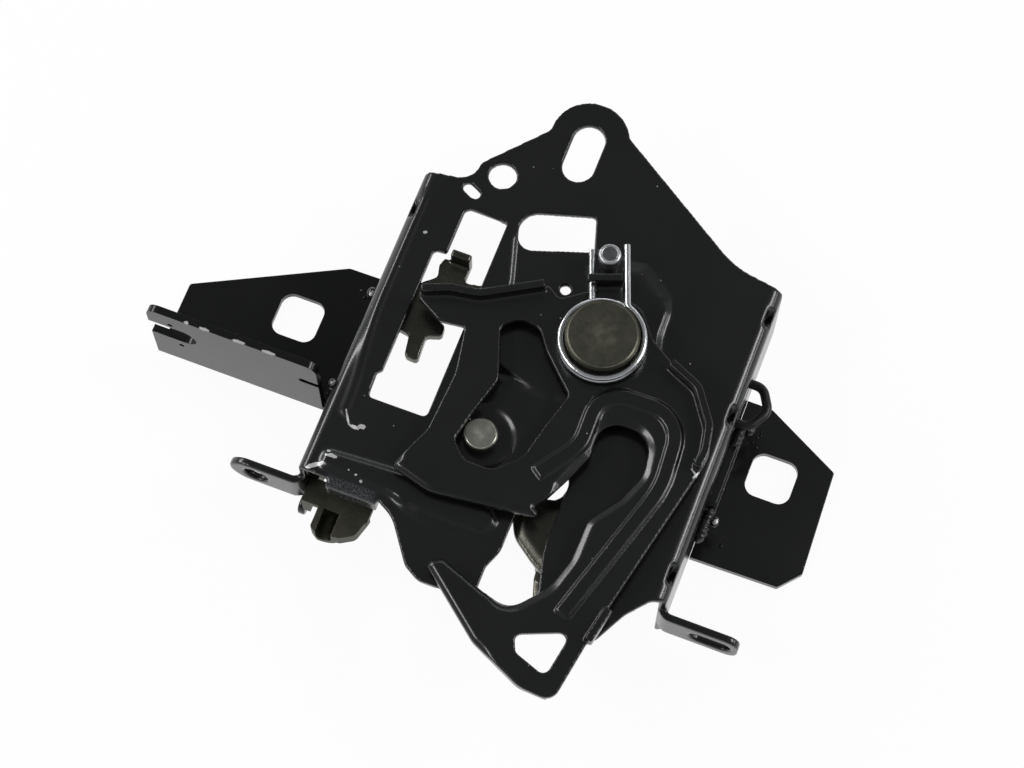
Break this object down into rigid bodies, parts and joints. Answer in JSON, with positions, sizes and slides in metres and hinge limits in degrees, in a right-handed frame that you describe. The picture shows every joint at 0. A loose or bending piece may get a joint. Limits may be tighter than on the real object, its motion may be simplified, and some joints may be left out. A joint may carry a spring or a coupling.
{
  "type": "boot lid lock",
  "caption": "Pressed steel lid lock: channel base plate with a striker's mouth, sprung two-way safety catch, spring-returned main hook, mounting ears and two side wings.",
  "frame": {"origin": "centre of the striker notch's round end, on the base plate's front face", "axes": "+X to the plate's right seen from the front, +Y up the plate from the striker's mouth to the top slot, +Z out of the plate's front; the lock lies on the backs of its two wings"},
  "size_m": [0.2211, 0.1919, 0.0507],
  "materials": {
    "coated_sheet": "gloss black coat",
    "coated_lever": "gloss black coat",
    "passivated_steel": "olive passivated zinc",
    "zinc_wire": "bright zinc",
    "dark_wire": "dark phosphated",
    "plain_steel": "plain zinc",
    "pale_rivet": "worn zinc",
    "stop_rubber": "matt black"
  },
  "bodies": {
    "frame": {"base_plate": "coated_sheet", "left_flange": "coated_sheet", "right_flange": "coated_sheet", "left_wing_bracket": "coated_sheet", "right_wing_bracket": "coated_sheet", "left_weld_bead": "coated_sheet", "right_weld_bead": "coated_sheet", "pivot_rivet": "passivated_steel", "catch_bush": "plain_steel", "spring_collar": "plain_steel", "hook_bush": "plain_steel", "rear_washer": "plain_steel", "rear_collar": "plain_steel", "spring_post": "passivated_steel", "guide_rivet": "pale_rivet", "guide_washer": "plain_steel", "cable_bracket": "passivated_steel", "cable_bracket_rivet": "passivated_steel", "hook_stop_buffer": "stop_rubber", "centring_spring": "zinc_wire", "hook_spring": "dark_wire"},
    "catch": {"safety_catch": "coated_lever"},
    "hook": {"main_hook": "passivated_steel"}
  },
  "joints": [
    {"name": "catch_swing", "type": "hinge", "parent": "frame", "child": "catch", "pos_m": [0, 0.046, 0.005], "axis": [0, 0, 1], "range_deg": [-22, 24], "stiffness_Nm_per_rad": 1, "deforming": ["centring_spring"]},
    {"name": "hook_release", "type": "hinge", "parent": "frame", "child": "hook", "pos_m": [0, 0.046, -0.005], "axis": [0, 0, 1], "range_deg": [0, 18], "stiffness_Nm_per_rad": 5, "springref_deg": -20.05, "deforming": ["hook_spring"]}
  ]
}
